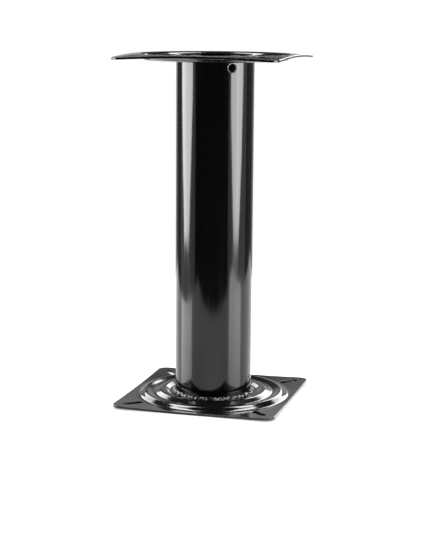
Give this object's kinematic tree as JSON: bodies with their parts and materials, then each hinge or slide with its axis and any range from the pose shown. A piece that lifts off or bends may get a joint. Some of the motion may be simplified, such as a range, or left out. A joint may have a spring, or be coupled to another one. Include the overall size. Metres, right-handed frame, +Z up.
{
  "type": "boat seat pedestal",
  "caption": "Fixed-height boat seat pedestal: round steel tube with a stamped square plate, slotted for bolts at its corners, welded on each end.",
  "frame": {"origin": "centre of the base, on the plane that its flat rim stands on", "axes": "+Z up along the tube, from the deck plate to the seat plate; X and Y along the plates' diagonals, through the bolt slots; the vent hole near the top of the tube faces -Y"},
  "size_m": [0.2122, 0.2122, 0.327],
  "materials": {
    "tube_paint": "gloss",
    "plate_paint": "gloss",
    "weld_paint": "gloss"
  },
  "bodies": {
    "root": {"base_plate": "plate_paint", "post_tube": "tube_paint", "top_plate": "plate_paint", "base_weld": "weld_paint", "top_weld": "weld_paint"}
  },
  "joints": []
}
